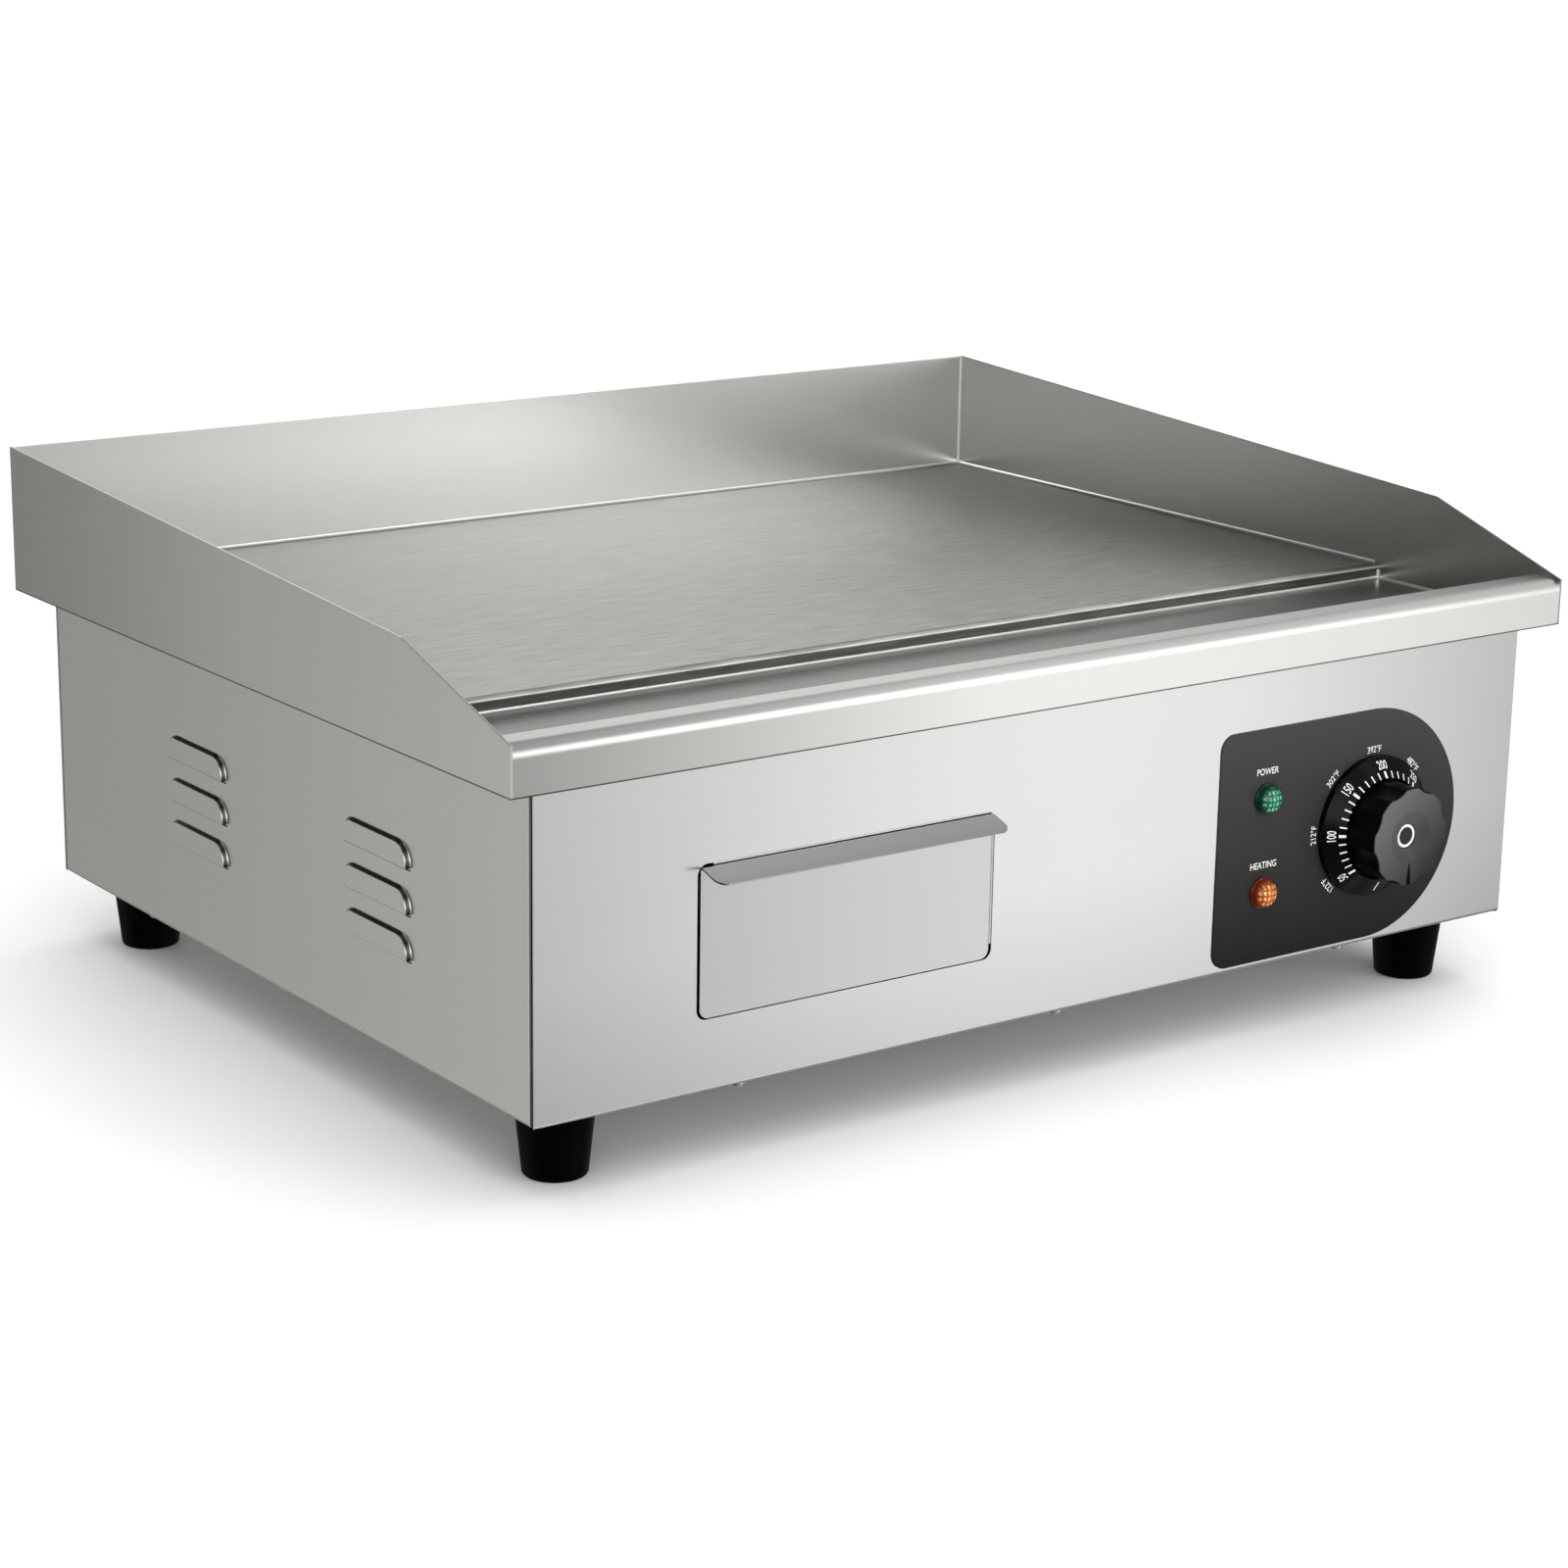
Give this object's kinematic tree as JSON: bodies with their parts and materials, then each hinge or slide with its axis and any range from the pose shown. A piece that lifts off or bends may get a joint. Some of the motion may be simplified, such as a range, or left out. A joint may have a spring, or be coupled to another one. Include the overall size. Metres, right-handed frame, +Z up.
{
  "type": "electric griddle",
  "caption": "Countertop electric griddle: flat steel plate in a splash-guarded pan with a front grease trough, over a louvred case with a dial thermostat, pilot lamps and a grease drawer.",
  "frame": {"origin": "on the counter under the middle of the pan, at the height of the feet's undersides", "axes": "+X to the right seen from the front, +Y to the rear, +Z up; the dial and the drawer face -Y"},
  "size_m": [0.55, 0.4622, 0.232],
  "materials": {
    "plate_steel": "ground flat, fine brush lines across the width",
    "pan_steel": "satin stainless sheet",
    "case_steel": "satin stainless sheet",
    "zinc_steel": "zinc plated",
    "element_steel": "oxidised tubular heater sheath",
    "brass": "turned",
    "copper": "drawn copper",
    "ceramic_wool": "white ceramic fibre",
    "overlay_plastic": "printed charcoal overlay",
    "dial_plastic": "satin black moulding",
    "housing_plastic": "black moulding",
    "terminal_ceramic": "unglazed",
    "green_lens": "clear green moulding",
    "amber_lens": "clear amber moulding",
    "wire_sleeve": "glass braid sleeve",
    "foot_rubber": "moulded black rubber"
  },
  "bodies": {
    "griddle": {"base_plate": "case_steel", "base_screws": "zinc_steel", "bulb_clips": "zinc_steel", "cable_gland": "housing_plastic", "capillary_tube": "copper", "clamp_nuts": "zinc_steel", "control_overlay": "overlay_plastic", "dial_bezel": "dial_plastic", "drain_spout": "pan_steel", "drawer_guide_left": "case_steel", "drawer_guide_right": "case_steel", "earth_terminal": "zinc_steel", "element_bushes": "brass", "element_clamp_bars": "zinc_steel", "foot_front_left": "foot_rubber", "foot_front_right": "foot_rubber", "foot_nuts": "zinc_steel", "foot_rear_left": "foot_rubber", "foot_rear_right": "foot_rubber", "foot_screws": "zinc_steel", "foot_washers": "zinc_steel", "front_panel": "case_steel", "front_panel_screws": "zinc_steel", "front_trough": "pan_steel", "gland_cap": "housing_plastic", "gland_locknut": "housing_plastic", "griddle_plate": "plate_steel", "heat_shield": "zinc_steel", "heating_element_left": "element_steel", "heating_element_right": "element_steel", "heating_lamp_body": "housing_plastic", "heating_lamp_lens": "amber_lens", "insulation_blanket": "ceramic_wool", "lamp_clips": "zinc_steel", "limit_thermostat": "housing_plastic", "pan_nuts": "zinc_steel", "plate_studs": "zinc_steel", "power_lamp_body": "housing_plastic", "power_lamp_lens": "green_lens", "rear_panel": "case_steel", "rear_panel_screws": "zinc_steel", "sensor_bulb": "copper", "shield_nuts": "zinc_steel", "side_panel_left": "case_steel", "side_panel_right": "case_steel", "splash_guard_left": "pan_steel", "splash_guard_rear": "pan_steel", "splash_guard_right": "pan_steel", "terminal_block": "terminal_ceramic", "terminal_block_screws": "zinc_steel", "thermostat_body": "housing_plastic", "thermostat_screws": "zinc_steel", "wiring": "wire_sleeve"},
    "dial": {"knob": "dial_plastic", "knob_badge": "dial_plastic", "thermostat_shaft": "zinc_steel"},
    "drawer": {"drawer_front": "case_steel", "drawer_tray": "case_steel"}
  },
  "joints": [
    {"name": "dial_turn", "type": "hinge", "parent": "griddle", "child": "dial", "pos_m": [0.173, -0.2205, 0.0865], "axis": [0, 1, 0], "range_deg": [0, 270]},
    {"name": "drawer_slide", "type": "slide", "parent": "griddle", "child": "drawer", "axis": [0, -1, 0], "range_m": [0, 0.205]}
  ]
}
